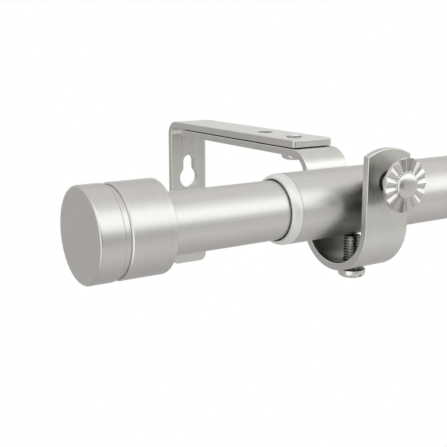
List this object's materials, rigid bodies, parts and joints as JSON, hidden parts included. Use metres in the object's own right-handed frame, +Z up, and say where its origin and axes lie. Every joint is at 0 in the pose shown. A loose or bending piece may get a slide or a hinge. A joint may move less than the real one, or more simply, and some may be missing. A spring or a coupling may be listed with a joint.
{
  "type": "extendable curtain rod",
  "caption": "Telescoping tube curtain rod with turned end caps, clamped by fluted thumb screws in U-shaped cradle arms that slide out from L-shaped wall brackets.",
  "frame": {"origin": "on the wall plane, midway between the two wall brackets, level with their lower screw holes", "axes": "+X along the rod towards the thicker tube's end cap, +Y into the wall, +Z up"},
  "size_m": [0.7458, 0.1141, 0.0544],
  "materials": {
    "nickel_strip": "satin nickel plate",
    "nickel_tube": "satin nickel plate",
    "nickel_cap": "satin nickel plate, turned",
    "bright_screw": "bright plate",
    "cast_screw": "polished nickel plate",
    "collar_plastic": "translucent moulded",
    "hidden_plastic": "moulded"
  },
  "bodies": {
    "wall_brackets": {"left_wall_bracket": "nickel_strip", "right_wall_bracket": "nickel_strip"},
    "rod_carriage": {"left_cradle_arm": "nickel_strip", "right_cradle_arm": "nickel_strip", "outer_tube": "nickel_tube", "tube_collar": "collar_plastic", "right_end_cap": "nickel_cap", "right_cap_insert": "hidden_plastic"},
    "inner_rod": {"inner_tube": "nickel_tube", "inner_glide": "hidden_plastic", "left_end_cap": "nickel_cap", "left_cap_insert": "hidden_plastic"},
    "left_arm_screw": {"left_arm_screw": "bright_screw"},
    "right_arm_screw": {"right_arm_screw": "bright_screw"},
    "left_cradle_screw": {"left_cradle_screw": "bright_screw"},
    "right_cradle_screw": {"right_cradle_screw": "bright_screw"},
    "left_thumb_screw": {"left_thumb_screw": "cast_screw"},
    "right_thumb_screw": {"right_thumb_screw": "cast_screw"}
  },
  "joints": [
    {"name": "arm_slide", "type": "slide", "parent": "wall_brackets", "child": "rod_carriage", "axis": [0, -1, 0], "range_m": [0, 0.038]},
    {"name": "rod_slide", "type": "slide", "parent": "rod_carriage", "child": "inner_rod", "axis": [-1, 0, 0], "range_m": [-0.035, 0.472]},
    {"name": "left_arm_screw_turn", "type": "hinge", "parent": "wall_brackets", "child": "left_arm_screw", "pos_m": [-0.292, -0.0653, 0.038], "axis": [0, 0, -1], "range_deg": [0, 720]},
    {"name": "right_arm_screw_turn", "type": "hinge", "parent": "wall_brackets", "child": "right_arm_screw", "pos_m": [0.292, -0.0653, 0.038], "axis": [0, 0, -1], "range_deg": [0, 720]},
    {"name": "left_cradle_screw_turn", "type": "hinge", "parent": "rod_carriage", "child": "left_cradle_screw", "pos_m": [-0.292, -0.09283, 0.01], "axis": [0, 0, -1], "range_deg": [0, 2880]},
    {"name": "right_cradle_screw_turn", "type": "hinge", "parent": "rod_carriage", "child": "right_cradle_screw", "pos_m": [0.292, -0.09283, 0.01], "axis": [0, 0, -1], "range_deg": [0, 2880]},
    {"name": "left_thumb_screw_turn", "type": "hinge", "parent": "rod_carriage", "child": "left_thumb_screw", "pos_m": [-0.292, -0.107, 0.0342], "axis": [0, -1, 0], "range_deg": [0, 2160]},
    {"name": "right_thumb_screw_turn", "type": "hinge", "parent": "rod_carriage", "child": "right_thumb_screw", "pos_m": [0.292, -0.107, 0.0342], "axis": [0, -1, 0], "range_deg": [0, 2160]}
  ]
}
